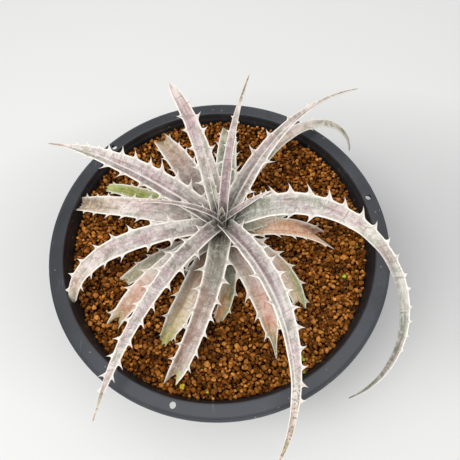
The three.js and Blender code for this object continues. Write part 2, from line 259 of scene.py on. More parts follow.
# Pot: one turned skin with three wire holes in its lip and drain holes in its floor
pot = {
    "segments": 240, "holeSides": 32, "roundAngle": 38,
    "wireHole": 1.8, "wireCircle": 96.9, "wireAngles": (13.4, 133.4, 253.4), "wireSpan": (116, 122),
    "drainHole": 4.5, "drainRings": ((26, 4), (52, 8)), "drainSpan": (-1, 4),
    "profile": (
        (0, 0), (68.6, 0), (69.4, 0.2), (69.9, 0.7), (70.1, 1.4), (93.9, 113.4), (94.1, 115.6), (94.5, 117.2),
        (95.3, 118), (100, 118), (100.7, 117.7), (100.9, 117), (100.9, 114.5), (101.1, 114.1), (101.6, 114),
        (102.1, 114), (102.4, 114.2), (102.5, 114.6), (102.5, 117.7), (102.35, 118.2), (101.9, 118.45),
        (101.3, 118.45), (101.05, 118.6), (100.95, 119), (100.8, 119.6), (100.4, 119.93), (99.8, 120), (94.4, 120),
        (93.8, 119.9), (93.4, 119.5), (93.3, 118.9), (93.25, 116.4), (93.1, 115.6), (92.8, 114.9), (92.4, 114.3),
        (92.1, 113.4), (68.6, 3.4), (68, 2.8), (67, 2.5), (0, 2.5),
    ),
    # the second tone is worn plastic, and toward the front it is also painted sheen
    "plastic": (43, 45, 50), "fadedAndSheen": (68, 71, 77), "dust": (172, 172, 168),
    # painted shade tones: one for the left of the lip, one inside the lip
    "leftShadeTone": (33, 36, 39), "innerShadeTone": (20, 19, 19),
    # paler toward the front as painted sheen, painted shade at the left, and painted shade inside the lip: from where
    # to where, and how much
    "paintedSheenFront": (20, -100, 0.38), "paintedShadeLeft": (-60, -100, 0.6),
    "innerShadeRadii": (94.5, 92.5), "innerShadeHeights": (119.5, 117), "innerShadeShare": 0.85,
    "scratchShare": 0.3, "dustShare": 0.5, "grainDepth": 0.05,
}


def turnedSkin(profile, segments):
    points, faces, rings = [], [], []
    for radius, height in profile:
        count = segments if radius > 0 else 1
        rings.append((len(points), count))
        points += [(*onCircle(radius, i / segments), height) for i in range(count)]
    for (low, lowCount), (high, highCount) in zip(rings, rings[1:]):
        if lowCount == 1:
            faces += [(low, high + (i + 1) % segments, high + i) for i in range(segments)]
        elif highCount == 1:
            faces += [(low + i, low + (i + 1) % segments, high) for i in range(segments)]
        else:
            faces += ringFaces(low, high, segments)
    return points, faces


def pinPoints(radius, x, y, span):
    sides = pot["holeSides"]
    ring = [onCircle(radius, i / sides) for i in range(sides)]
    points = [(x + px, y + py, z) for z in span for px, py in ring]
    return points, ringFaces(0, sides, sides) + [tuple(range(sides))[::-1], tuple(range(sides, 2 * sides))]


def drill(piece, pins):
    points, faces = [], []
    for pinPoint, pinFaces in pins:
        faces += [tuple(len(points) + i for i in face) for face in pinFaces]
        points += pinPoint
    cutter = newPiece("pins", points, faces, piece.data.materials[0])
    cut = piece.modifiers.new("holes", "BOOLEAN")
    cut.operation, cut.solver, cut.object = "DIFFERENCE", "EXACT", cutter
    bpy.context.view_layer.update()
    drilled = bpy.data.meshes.new_from_object(piece.evaluated_get(bpy.context.evaluated_depsgraph_get()))
    piece.modifiers.clear()
    piece.data = drilled
    bpy.data.objects.remove(cutter)


def plasticFinish():
    finish, tree, shader = newFinish("matte_plastic")
    place = objectPlace(tree)
    cloudy = grainNoise(tree, place, (28, 28, 28), 5, 0.6)
    fine = grainNoise(tree, place, (420, 420, 420), 3)
    scuff = grainNoise(tree, place, (900, 60, 300), 4, 0.6, 0.6)
    grain = grainNoise(tree, place, (2600, 2600, 2600), 2)
    worn = times(tree, between(tree, cloudy, 0.4, 0.7), between(tree, fine, 0.3, 0.7, 0.35, 1))
    colour = mixed(tree, worn, linear(pot["plastic"]), linear(pot["fadedAndSheen"]))

    axes = put(tree, "ShaderNodeSeparateXYZ", {0: place}).outputs
    # painted sheen toward the front, painted shade at the left
    for axis, tint, (start, end, share) in (("Y", "fadedAndSheen", pot["paintedSheenFront"]), ("X", "leftShadeTone", pot["paintedShadeLeft"])):
        colour = tinted(tree, colour, axes[axis], start * mm, end * mm, share, pot[tint])
    radius = maths(tree, "SQRT", maths(tree, "ADD", times(tree, axes["X"], axes["X"]),
                                       times(tree, axes["Y"], axes["Y"])))
    # painted shade inside the lip, where the inner wall lies in shadow
    inside, below = ([reach * mm for reach in pot[key]] for key in ("innerShadeRadii", "innerShadeHeights"))
    isInner = times(tree, between(tree, radius, *inside), between(tree, axes["Z"], *below))
    colour = mixed(tree, times(tree, isInner, pot["innerShadeShare"]), colour, linear(pot["innerShadeTone"]))

    scratches = times(tree, between(tree, scuff, 0.63, 0.74), between(tree, cloudy, 0.45, 0.6))
    specks = cells(tree, place, (330, 330, 330))
    seed = put(tree, "ShaderNodeSeparateColor", {0: specks["Color"]}).outputs[0]
    isSpeck = times(tree, maths(tree, "LESS_THAN", specks["Distance"], 0.13), maths(tree, "GREATER_THAN", seed, 0.86))
    for layer, share in ((scratches, pot["scratchShare"]), (isSpeck, pot["dustShare"])):
        colour = mixed(tree, times(tree, layer, share), colour, linear(pot["dust"]))
    height = maths(tree, "ADD", times(tree, grain, 0.6), times(tree, fine, 0.6))
    feed(tree, shader, {"Base Color": colour, "Roughness": between(tree, worn, 0, 1, 0.42, 0.62),
                        "Normal": relief(tree, height, pot["grainDepth"], 0.6)})
    return finish


def makePot():
    points, faces = turnedSkin(pot["profile"], pot["segments"])
    piece = newPiece("hanging_pot", points, faces, plasticFinish(), "pot_plastic", "pot")
    pins = [pinPoints(pot["wireHole"], *onCircle(pot["wireCircle"], angle / 360), pot["wireSpan"])
            for angle in pot["wireAngles"]]
    for radius, count in pot["drainRings"]:
        pins += [pinPoints(pot["drainHole"], *onCircle(radius, (i + 0.5) / count), pot["drainSpan"])
                 for i in range(count)]
    drill(piece, pins)
    shadeSmooth(piece.data, pot["roundAngle"])


makePot()
print("pot done")


# Soil: a dark bed, painted shade for the gaps between granules, under loose granules that lie on each other
soil = {
    "bedTop": 104.2, "bedRadius": 90.6, "bedFoot": 67.4, "bedBottom": 2.9, "rings": 46, "segments": 150,
    "bedRough": 1.6, "heaped": 5.4, "heapedOut": (80, 91), "heapedBack": (-0.1, 0.8),    # higher at the back wall
    "seed": 5, "tries": 17000, "places": 5, "radius": (0.8, 1.9), "top": 109.6, "topRough": 0.9,
    "reach": 91.2, "stemRoom": 7.6, "packing": 0.80,
    "shapes": 24, "bigLumps": (0.45, 1.1), "smallLumps": (0.2, 2.9), "flats": 9, "flatReach": (0.56, 0.82),
    "turn": 6.28, "stretch": ((0.85, 1.25), (0.85, 1.15), (0.8, 1)), "swell": 1.12, "roundAngle": 32,
    "seenLeast": 0.05, "seenWell": 0.3, "pieces": 3,    # buried granules are left out, half hidden ones are coarser
    # the darkest tone paints shade on the bed between the granules, and also darkens their pores
    "clay": ((42, 16, 1), (142, 79, 19), (232, 156, 76)), "dark": (14, 5, 1),
}


def clayFinish(name, isBed):
    finish, tree, shader = newFinish(name)
    place = objectPlace(tree)
    pores = grainNoise(tree, place, (1500, 1500, 1500), 4, 0.65)
    blotch = grainNoise(tree, place, (320, 320, 320), 3)
    low, middle, high = soil["clay"]
    if isBed:
        # the bed is painted shade where it shows between the granules
        colour = mixed(tree, between(tree, blotch, 0.3, 0.7), linear(soil["dark"]), linear(low))
    else:
        own = painted(tree, "grain")
        colour = mixed(tree, between(tree, own, 0.05, 0.5), linear(low), linear(middle))
        for layer, start, end, share, tint in (
                (own, 0.55, 1, 1, high), (blotch, 0.35, 0.7, 0.6, low),
                (pores, 0.5, 0.72, 0.4, high), (pores, 0.46, 0.34, 0.6, soil["dark"])):
            colour = tinted(tree, colour, layer, start, end, share, tint)
    feed(tree, shader, {"Base Color": colour, "Roughness": 0.92, "Specular IOR Level": 0.16,
                        "Normal": relief(tree, maths(tree, "ADD", pores, blotch), 0.25, 0.8)})
    return finish


def heapedBy(x, y):
    out = math.hypot(x, y)
    return soil["heaped"] * smooth(*soil["heapedOut"], out) * smooth(*soil["heapedBack"], y / max(1, out))


def layGranules():
    # each lies as low as the ones under it let it, and the best of a few places is taken
    rnd = random.Random(soil["seed"])
    size, laid, grid = 4.4, [], {}    # squares wide enough for two large granules
    smallest, largest = soil["radius"]
    for _ in range(soil["tries"]):
        radius = smallest + (largest - smallest) * rnd.random() ** 1.5
        best = None
        for _ in range(soil["places"]):
            out = (soil["reach"] - radius) * math.sqrt(rnd.random())
            x, y = onCircle(out, rnd.random())
            height = soil["bedTop"] + heapedBy(x, y)
            column, row = int(x // size), int(y // size)
            for i in (column - 1, column, column + 1):
                for j in (row - 1, row, row + 1):
                    for nx, ny, nz, nr in grid.get((i, j), ()):
                        room = (radius + nr) ** 2 * soil["packing"] - (x - nx) ** 2 - (y - ny) ** 2
                        if room > 0:
                            height = max(height, nz + math.sqrt(room))
            if best is None or height - heapedBy(x, y) < best[2] - heapedBy(best[0], best[1]):
                best = (x, y, height, radius)
        x, y, height, radius = best
        atStem = math.hypot(x - axisPlace["x"], y - axisPlace["y"]) < soil["stemRoom"]
        if height + radius > soil["top"] + heapedBy(x, y) + rnd.random() * soil["topRough"] or atStem:
            continue
        laid.append(best)
        grid.setdefault((int(x // size), int(y // size)), []).append(best)
    return laid


def seenShares(laid):
    # how much of each granule is seen from above
    step, top, owner = 0.5, {}, {}
    for index, (x, y, height, radius) in enumerate(laid):
        for i in range(int((x - radius) / step), int((x + radius) / step) + 1):
            for j in range(int((y - radius) / step), int((y + radius) / step) + 1):
                room = radius ** 2 - (i * step - x) ** 2 - (j * step - y) ** 2
                if room > 0 and height + math.sqrt(room) > top.get((i, j), 0):
                    top[i, j] = height + math.sqrt(room)
                    owner[i, j] = index
    seen = [0] * len(laid)
    for index in owner.values():
        seen[index] += step * step
    return [area / (math.pi * one[3] ** 2) for area, one in zip(seen, laid)]


def grainShapes(subdivisions, rnd):
    # lumpy balls with a few flats cut on them
    ball = bmesh.new()
    bmesh.ops.create_icosphere(ball, subdivisions=subdivisions, radius=1)
    plain = [v.co.copy() for v in ball.verts]
    faces = [tuple(v.index for v in face.verts) for face in ball.faces]
    ball.free()
    shapes = []
    (big, bigScale), (small, smallScale) = soil["bigLumps"], soil["smallLumps"]
    for _ in range(soil["shapes"]):
        away = Vector((rnd.random(), rnd.random(), rnd.random())) * 50
        points = [point * (1 + big * noise.noise(point * bigScale + away)
                           + small * noise.noise(point * smallScale + away)) for point in plain]
        for _ in range(soil["flats"]):
            flat = Vector((rnd.gauss(0, 1), rnd.gauss(0, 1), rnd.gauss(0, 1))).normalized()
            reach = rnd.uniform(*soil["flatReach"])
            points = [point - flat * max(0, point.dot(flat) - reach) for point in points]
        shapes.append(points)
    return shapes, faces


def makeGranules():
    laid = layGranules()
    seen = seenShares(laid)
    finish = clayFinish("baked_clay", False)
    rnd = random.Random(soil["seed"] + 1)
    fine, coarse = grainShapes(2, rnd), grainShapes(1, rnd)
    kept = [(one, share) for one, share in zip(laid, seen) if share > soil["seenLeast"]]
    kept.sort(key=lambda pair: math.atan2(pair[0][1], pair[0][0]))
    print("granules", len(laid), "kept", len(kept))
    for part in range(soil["pieces"]):
        points, faces, own = [], [], []
        for (x, y, height, radius), share in kept[part::soil["pieces"]]:
            shapes, shapeFaces = fine if share > soil["seenWell"] else coarse
            turn = Matrix.Rotation(rnd.uniform(0, soil["turn"]), 3, "X")
            turn = turn @ Matrix.Rotation(rnd.uniform(0, soil["turn"]), 3, "Z")
            turn = turn @ Matrix.Diagonal([rnd.uniform(*span) for span in soil["stretch"]])
            value = rnd.random()
            first = len(points)
            for point in rnd.choice(shapes):
                spot = turn @ point * (radius * soil["swell"])
                points.append((x + spot.x, y + spot.y, height + spot.z))
                own.append(value)
            faces += [tuple(first + i for i in face) for face in shapeFaces]
        piece = newPiece(f"clay_granules_{part + 1}", points, faces, finish, "clay_granules",
                         roundAngle=soil["roundAngle"])
        paint(piece, "grain", "FLOAT", own)
        print(piece.name, len(faces), "faces")


def makeBed():
    points, faces = [], []
    segments = soil["segments"]

    def ring(radius, height, rough, heap=1):
        start = len(points)
        for i in range(segments):
            x, y = onCircle(radius, i / segments)
            lift = rough * noise.noise(Vector((x * 0.45, y * 0.45, 3))) + heap * heapedBy(x, y)
            points.append((x, y, height + lift))
        return start

    starts = [ring(soil["bedFoot"], soil["bedBottom"], 0, 0)]
    for step in range(soil["rings"] - 1):
        share = 1 - step / (soil["rings"] - 1)
        starts.append(ring(soil["bedRadius"] * share, soil["bedTop"], soil["bedRough"] if step else 0))
    for low, high in zip(starts, starts[1:]):
        faces += ringFaces(low, high, segments)
    faces += [tuple(range(starts[-1], len(points))), tuple(range(segments))[::-1]]
    newPiece("soil_bed", points, faces, clayFinish("clay_bed_shade", True), "clay_granules", "soil")


# On the granules: a few bits of green moss and fallen yellow shreds, each with its place, radius and tone
moss = {
    "height": 111, "flat": 0.7, "seed": 9, "dark": (0.02, 0.03, 0.004), "specks": (
        ((73.9, -25.3), 1.5, (176, 214, 60)), ((43.0, -70.9), 1.2, (150, 170, 50)),
        ((44.5, -72.1), 0.9, (170, 190, 60)), ((43.7, -79.1), 1, (140, 160, 50)),
        ((-23.9, -83.3), 1.6, (214, 182, 40)), ((-22.8, -82.1), 1.1, (220, 190, 60)),
        ((-9.9, -86.7), 0.9, (200, 180, 70)), ((41.7, -67.6), 0.8, (130, 150, 44)),
        ((84.7, -6.6), 0.9, (120, 140, 40)),
    ),
}


def makeMoss():
    finish, tree, shader = newFinish("moss")
    fine = grainNoise(tree, objectPlace(tree), (1200, 1200, 1200), 3)
    colour = mixed(tree, between(tree, fine, 0.3, 0.7, 0, 0.5), painted(tree, "tone", "Color"), moss["dark"])
    feed(tree, shader, {"Base Color": colour, "Roughness": 0.8})
    ball, ballFaces = grainShapes(2, random.Random(moss["seed"]))
    points, faces, tones = [], [], []
    for (x, y), radius, tone in moss["specks"]:
        first = len(points)
        for point in ball[len(faces) % len(ball)]:
            lift = point.z * radius * moss["flat"]
            points.append((x + point.x * radius, y + point.y * radius, moss["height"] + lift))
            tones.append((*linear(tone), 1))
        faces += [tuple(first + i for i in face) for face in ballFaces]
    paint(newPiece("moss_specks", points, faces, finish, "leaf_green"), "tone", "FLOAT_COLOR", tones)


makeBed()
makeGranules()
makeMoss()
print("soil done")


# Stem: short, wrapped in the stubs of old sheaths
stem = {
    "profile": ((0, -20), (5, -20), (7.2, -10), (7.9, -1), (8.2, 4), (7.4, 8), (6.2, 12), (4.6, 15), (2.4, 17.4),
                (0, 18)),
    "segments": 72, "rows": 60, "ribs": 0.28, "rough": 0.05, "roundAngle": 50,
    "bark": ((92, 78, 58), (156, 148, 128)),
}


def sheathFinish():
    finish, tree, shader = newFinish("dry_sheath")
    place = objectPlace(tree)
    fibre = grainNoise(tree, place, (900, 900, 90), 4)
    patch = grainNoise(tree, place, (120, 120, 200), 3)
    dark, pale = stem["bark"]
    colour = mixed(tree, between(tree, patch, 0.3, 0.7), linear(dark), linear(pale))
    colour = tinted(tree, colour, fibre, 0.35, 0.7, 0.5, dark)
    feed(tree, shader, {"Base Color": colour, "Roughness": 0.85, "Normal": relief(tree, fibre, 0.3, 0.7)})
    return finish


def makeStem():
    profile, rows, segments = stem["profile"], stem["rows"], stem["segments"]
    points, faces = [], []
    for row in range(rows + 1):
        place = row / rows * (len(profile) - 1)
        index = min(int(place), len(profile) - 2)
        radius, height = blend(profile[index], profile[index + 1], place - index)
        for i in range(segments):
            angle = 2 * math.pi * i / segments
            scar = (height * 0.45 + angle / math.pi) % 1
            rough = noise.noise(Vector((*onCircle(2.5, i / segments), height * 0.12)))
            wide = max(0.01, radius) * (1 + stem["rough"] * rough) + stem["ribs"] * (scar - 0.5) * min(1, radius / 4)
            points.append((axisPlace["x"] + wide * math.cos(angle), axisPlace["y"] + wide * math.sin(angle),
                           axisPlace["soil"] + height))
    for row in range(rows):
        faces += ringFaces(row * segments, (row + 1) * segments, segments)
    faces += [tuple(range(segments))[::-1], tuple(range(rows * segments, len(points)))]
    newPiece("short_stem", points, faces, sheathFinish(), "stem", "stem", stem["roundAngle"])


makeStem()
print("stem done")


# Leaves. Each takes its own entry, then that of its kind, the second word of its name, then the plain leaf. Sides are
# those seen from the root with the face up, -1 left and 1 right, and places across a blade run from -1 to 1.
# root, height, heading, sweep, curl, rise, droop and length give the line of a blade, as in the part's source. wide
# is its width at shares of the length, left and right give the first tooth, the last one and how many, and tones run
# from root to tip.
plainLeaf = {
    "sweep": 0, "curl": 2,    # how far the blade turns round the plant, and how late
    "roll": ((0, 0), (1, 0)),    # how far its face turns to the right, at shares of the length
    "keel": 0, "ridge": None,    # where it folds across its width, and where a pale line runs
    "torn": None,    # how far the left side, the middle and the right side of a torn end reach, and how ragged it is
    "toothFade": 0.8,    # how much of a tooth's length is left toward the tip
    # a fold's darker tone is partly its own colour and partly painted shade in the crease
    "groove": 0, "grooveTone": (116, 86, 92),    # how much darker the fold is, and its tone
    "grooveSpan": (0.06, 0.58), "grooveWide": 0.24,
    "shade": (0, 0),    # which side lies darker, and by how much
    "specks": 0.9,    # the share of the length from which dark specks cover it
    # a tone that takes over one side, from start to the tip and from inner outward, and dulls the margin there: a
    # real stain on most blades, painted shade on the curled far side of leaf_upper_right
    "stainAndShade": {"side": 0, "tone": (0, 0, 0), "share": 0, "start": 0.5, "inner": 0, "dull": 0},
}

# rowStep is from one row of points to the next, lean and stout belong to the teeth, fold is how deep the blade folds,
# wrap how far its foot closes round the stem, and footTone how much of its tones is left there in the shade
kinds = {
    "inner": {"slot": "leaf_silver", "root": 3, "thickness": 1.4, "tipThickness": 0.5, "rowStep": 1.0, "lean": 16,
              "stout": 0.3, "fold": 0.75, "wrap": 0.9, "footTone": 0.09},
    "upper": {"slot": "leaf_silver", "root": 5, "thickness": 2.6, "tipThickness": 0.7, "rowStep": 1.3, "lean": 12,
              "stout": 0.5, "fold": 0.34, "wrap": 0.4, "footTone": 0.24},
    "middle": {"slot": "leaf_silver", "root": 6, "thickness": 2.6, "tipThickness": 0.7, "rowStep": 1.3, "lean": 12,
               "stout": 0.5, "fold": 0.34, "wrap": 0.2, "footTone": 0.24},
    "old": {"slot": "leaf_tan", "root": 6, "thickness": 1.8, "tipThickness": 0.5, "rowStep": 1.3, "lean": 28,
            "stout": 0.6, "fold": 0.30, "wrap": 0.15, "footTone": 0.42},
}

leaves = {
    "leaf_inner_spike": {
        "slot": "leaf_grey_green", "root": 3.3, "height": 17, "heading": 85, "rise": 93, "droop": 0, "length": 19,
        "wide": ((0, 4.8), (0.4, 4), (0.7, 2.6), (0.88, 1.4), (1, 0.5)),
        "left": (11, 15, 2), "right": (12, 16, 2), "tooth": 0.8, "footTone": 1,
        "tones": ((0, (190, 182, 172)), (0.4, (236, 230, 220)), (1, (252, 248, 240)))},
    "leaf_inner_back_left": {
        "height": 24, "heading": 107, "rise": 60, "droop": 0, "length": 44,
        "wide": ((0, 2.8), (0.3, 2.6), (0.6, 2), (0.85, 1.2), (1, 0.6)),
        "left": (16, 34, 3), "right": (20, 36, 2), "tooth": 1.5,
        "tones": ((0, (170, 166, 152)), (0.3, (222, 216, 204)), (1, (244, 238, 226)))},
    "leaf_inner_back": {
        "root": 2, "height": 25, "heading": 76, "sweep": -36, "rise": 63, "droop": 0, "length": 86,
        "wide": ((0, 6), (0.26, 5.2), (0.54, 4.1), (0.75, 2.6), (0.88, 1.5), (1, 0.6)),
        "left": (16, 62, 6), "right": (22, 60, 5), "tooth": 1.9, "specks": 0.72, "groove": 0.6,
        "tones": ((0, (147, 134, 132)), (0.2, (181, 158, 160)), (0.5, (210, 193, 193)), (0.75, (233, 225, 216)),
                  (0.9, (206, 189, 172)), (1, (170, 130, 108)))},
    "leaf_inner_right": {
        "height": 25, "heading": 22, "sweep": -20, "rise": 30, "droop": 0, "length": 31,
        "wide": ((0, 3.4), (0.3, 3.2), (0.6, 2.4), (0.85, 1.4), (1, 0.7)),
        "left": (16, 28, 4), "right": (24, 28, 1), "tooth": 3, "keel": 0.3, "groove": 0.9,
        "tones": ((0, (142, 130, 128)), (0.4, (186, 170, 170)), (1, (222, 214, 208)))},
    "leaf_inner_left": {
        "height": 25, "heading": 158, "sweep": 28, "curl": 0.5, "rise": 44, "droop": 50, "length": 57,
        "wide": ((0, 3.4), (0.26, 3.2), (0.45, 2.6), (0.65, 1.9), (0.85, 1.2), (1, 0.6)),
        "left": (20, 44, 2), "right": (10, 46, 4), "tooth": 1.8, "keel": 0.2, "groove": 1,
        "tones": ((0, (140, 128, 126)), (0.3, (186, 170, 168)), (0.6, (206, 192, 184)), (1, (196, 170, 150)))},
    "leaf_upper_back_left": {
        "root": 4, "height": 23, "heading": 105, "sweep": 23, "rise": 56, "droop": 25, "length": 80,
        "wide": ((0, 9.6), (0.26, 9.8), (0.54, 8.6), (0.8, 6.8), (0.92, 5), (1, 1.6)),
        "left": (22, 62, 5), "right": (20, 66, 6), "tooth": 4.6, "groove": 0.25,
        "tones": ((0, (145, 147, 134)), (0.25, (189, 183, 174)), (0.6, (216, 202, 200)), (0.85, (210, 193, 189)),
                  (1, (206, 194, 186)))},
    "leaf_upper_back_right": {
        "height": 22, "heading": 55.2, "sweep": -41.8, "curl": 1.6, "rise": 36, "droop": 44, "length": 114,
        "wide": ((0, 10), (0.12, 10.8), (0.26, 9.8), (0.4, 7.8), (0.54, 5.2), (0.68, 3.6), (0.8, 2.2), (0.9, 1.5),
                 (1, 0.7)),
        "left": (24, 92, 6), "right": (20, 40, 2), "tooth": 5.4, "toothFade": 0.6, "keel": -0.14, "ridge": 0.14,
        "specks": 0.7, "groove": 0.5, "roll": ((0, 8), (1, -8)),
        "tones": ((0, (139, 143, 130)), (0.2, (169, 162, 154)), (0.45, (184, 166, 162)), (0.75, (198, 184, 178)),
                  (0.88, (188, 172, 158)), (1, (170, 138, 112)))},
    "leaf_upper_front": {
        "height": 23, "heading": 301, "sweep": -61.6, "curl": 1.7, "rise": 38, "droop": 80, "length": 142,
        "wide": ((0, 10), (0.14, 11.6), (0.26, 11.8), (0.4, 10.2), (0.54, 7.6), (0.68, 5), (0.8, 3.6), (0.92, 2.6),
                 (1, 1)),
        "left": (9, 110, 12), "right": (24, 62, 3), "tooth": 4.6, "lean": 4, "wrap": 0.7, "fold": 0.42, "keel": -0.02,
        "ridge": 0.34, "specks": 0.6, "groove": 1, "grooveSpan": (0.06, 0.42),
        "roll": ((0, -8), (0.15, -14), (0.5, -12), (1, -4)),
        "tones": ((0, (147, 134, 132)), (0.12, (164, 148, 148)), (0.35, (184, 173, 170)), (0.6, (206, 200, 195)),
                  (0.82, (206, 195, 176)), (0.95, (208, 190, 158)), (1, (208, 150, 118)))},
    "leaf_upper_right": {
        "height": 20, "heading": 8, "sweep": -174, "curl": 1.3, "rise": 41, "droop": 106, "length": 199,
        "wide": ((0, 11), (0.1, 13), (0.2, 13), (0.28, 10.6), (0.4, 7), (0.54, 5.2), (0.7, 4.2), (0.84, 2.8),
                 (0.93, 1.6), (1, 0.6)),
        "left": (30, 150, 15), "right": (40, 54, 2), "tooth": 5.6, "toothFade": 0.4, "lean": -8, "stout": 0.6,
        "wrap": 0.38, "roll": ((0, 0), (0.2, 6), (0.36, 26), (0.5, 38), (1, 34)),
        # this side tone is painted shade on the curled far side, with its pale margin dulled too
        "stainAndShade": {"side": 1, "tone": (118, 124, 110), "share": 0.9, "start": 0.5, "inner": -0.5, "dull": 0.85},
        "tones": ((0, (132, 137, 124)), (0.09, (156, 160, 147)), (0.18, (184, 179, 171)), (0.3, (201, 190, 186)),
                  (0.42, (216, 209, 199)), (0.7, (216, 214, 201)), (0.85, (192, 194, 173)), (0.93, (186, 178, 148)),
                  (1, (214, 150, 122)))},
    "leaf_upper_front_left": {
        "height": 22, "heading": 224, "sweep": 22, "curl": 0.7, "rise": 29, "droop": 63, "length": 129,
        "wide": ((0, 9), (0.26, 8.8), (0.4, 7.4), (0.54, 5.8), (0.68, 4.8), (0.8, 3.4), (0.9, 1.8), (1, 0.6)),
        "left": (24, 104, 8), "right": (10, 112, 11), "tooth": 4.8, "lean": 20, "wrap": 0.7, "fold": 0.2,
        "specks": 0.72,
        "tones": ((0, (140, 136, 125)), (0.12, (162, 149, 144)), (0.35, (176, 162, 159)), (0.65, (194, 183, 178)),
                  (0.85, (208, 200, 190)), (0.94, (206, 190, 170)), (1, (200, 156, 130)))},
    "leaf_upper_left": {
        "height": 20, "heading": 151.5, "sweep": 8, "rise": 39, "droop": 57, "length": 114,
        "wide": ((0, 10), (0.12, 12), (0.26, 13.4), (0.4, 12.6), (0.54, 11), (0.68, 8), (0.8, 4.4), (0.88, 2),
                 (1, 0.7)),
        "left": (34, 92, 6), "right": (14, 94, 11), "tooth": 5.6, "fold": 0.5, "ridge": -0.14, "shade": (-1, 0.24),
        "tones": ((0, (145, 145, 133)), (0.3, (179, 165, 164)), (0.6, (196, 184, 180)), (0.85, (211, 203, 196)),
                  (0.95, (216, 190, 168)), (1, (202, 152, 122)))},
    "leaf_upper_left_low": {
        "root": 6, "height": 19, "heading": 194, "sweep": 71, "curl": 4.7, "rise": 32, "droop": 80, "length": 105,
        "wide": ((0, 9), (0.12, 10), (0.26, 11.2), (0.4, 11.8), (0.54, 11.6), (0.68, 10.2), (0.8, 8.8), (0.9, 6.8),
                 (1, 3)),
        "left": (27, 92, 6), "right": (12, 98, 9), "tooth": 5.4, "lean": 8, "wrap": 0.2, "fold": 0.24,
        "tones": ((0, (138, 141, 128)), (0.15, (168, 163, 155)), (0.45, (190, 177, 174)), (0.75, (201, 186, 178)),
                  (0.88, (199, 177, 156)), (1, (170, 170, 132)))},
    "leaf_middle_front": {
        "slot": "leaf_tan", "height": 19, "heading": 262.2, "sweep": -30, "curl": 1.2, "rise": 17, "droop": 50,
        "length": 92,
        "wide": ((0, 12), (0.26, 12), (0.4, 11), (0.54, 10), (0.7, 9.6), (0.9, 9.2), (1, 6)),
        "left": (21, 78, 7), "right": (26, 80, 6), "tooth": 5, "torn": (-1, -6, 3, 1.6), "fold": 0.4, "keel": 0.34,
        "groove": 0.7, "grooveTone": (138, 104, 90), "grooveSpan": (0.4, 0.8), "grooveWide": 0.3,
        "stainAndShade": {"side": 1, "tone": (140, 112, 98), "share": 0.9, "start": 0.46, "inner": -0.25, "dull": 0.1},
        "tones": ((0, (92, 94, 83)), (0.2, (121, 123, 110)), (0.38, (144, 142, 132)), (0.52, (186, 177, 175)),
                  (0.75, (188, 175, 171)), (0.88, (184, 169, 158)), (0.95, (186, 178, 138)), (1, (176, 184, 96)))},
    "leaf_middle_left": {
        "root": 7, "height": 19, "heading": 166.7, "sweep": -7, "rise": 12, "droop": 40, "length": 89,
        "wide": ((0, 10), (0.12, 12), (0.26, 14), (0.4, 13.8), (0.54, 12.8), (0.8, 11.8), (1, 9)),
        "left": (20, 82, 7), "right": (18, 84, 8), "tooth": 4.4, "lean": 4, "torn": (0, 0, 1, 4),
        "tones": ((0, (157, 157, 145)), (0.3, (212, 200, 194)), (0.6, (225, 214, 206)), (0.82, (202, 182, 151)),
                  (1, (150, 122, 72)))},
    "leaf_middle_back_right": {
        "slot": "leaf_grey_green", "height": 14, "heading": 62, "sweep": -54, "curl": 1, "rise": 34.5, "droop": 113.5,
        "length": 166,
        "wide": ((0, 9), (0.3, 8), (0.45, 6.2), (0.54, 5), (0.68, 4.2), (0.8, 3.6), (1, 2)),
        "left": (70, 150, 9), "right": (90, 150, 7), "tooth": 2.2, "roll": ((0, 20), (0.5, 30), (1, 40)),
        "tones": ((0, (150, 152, 142)), (0.25, (206, 190, 186)), (0.45, (230, 212, 206)), (0.65, (228, 218, 206)),
                  (0.85, (206, 202, 186)), (1, (184, 176, 150)))},
    "leaf_old_front_right": {
        "slot": "leaf_pink", "height": 12, "heading": 296, "sweep": -25, "rise": 8, "droop": 29, "length": 78,
        "wide": ((0, 13), (0.26, 13), (0.4, 12.2), (0.54, 11.4), (0.68, 10), (0.78, 8), (0.85, 3.4), (0.92, 1.6),
                 (1, 0.7)),
        "left": (24, 60, 4), "right": (26, 64, 4), "tooth": 5.2, "lean": 34, "groove": 0.25,
        "grooveTone": (206, 140, 124),
        "stainAndShade": {"side": 1, "tone": (150, 158, 96), "share": 0.5, "start": 0.55, "inner": 0.2, "dull": 0.1},
        "tones": ((0, (140, 142, 132)), (0.25, (172, 168, 160)), (0.42, (192, 180, 172)), (0.55, (212, 178, 166)),
                  (0.7, (214, 172, 158)), (0.8, (200, 178, 148)), (0.88, (130, 140, 74)), (1, (96, 128, 56)))},
    "leaf_old_right_grey": {
        "slot": "leaf_grey_green", "height": 12, "heading": 6, "rise": 4, "droop": 20, "length": 21,
        "wide": ((0, 8), (0.6, 7), (0.85, 4), (1, 1.4)),
        "left": (12, 22, 2), "right": (12, 20, 2), "tooth": 3,
        "tones": ((0, (168, 170, 156)), (0.5, (206, 204, 184)), (1, (232, 220, 188)))},
    "leaf_old_right_front": {
        "height": 10, "heading": 325.5, "sweep": -46, "rise": 8, "droop": 30, "length": 60,
        "wide": ((0, 10), (0.6, 10), (0.85, 9), (1, 6)),
        "left": (18, 57, 5), "right": (20, 50, 4), "tooth": 4.4, "lean": 24, "torn": (4, -2, 0, 3),
        "stainAndShade": {"side": -1, "tone": (140, 160, 78), "share": 0.9, "start": 0.6, "inner": 0.1, "dull": 0.2},
        "tones": ((0, (170, 168, 158)), (0.35, (204, 192, 184)), (0.6, (216, 194, 178)), (0.85, (216, 192, 162)),
                  (1, (214, 192, 132)))},
    "leaf_old_left_front": {
        "slot": "leaf_pink", "height": 11, "heading": 212, "sweep": 21, "rise": 4, "droop": 20, "length": 78,
        "wide": ((0, 12.4), (0.5, 12.4), (0.8, 11), (1, 7)),
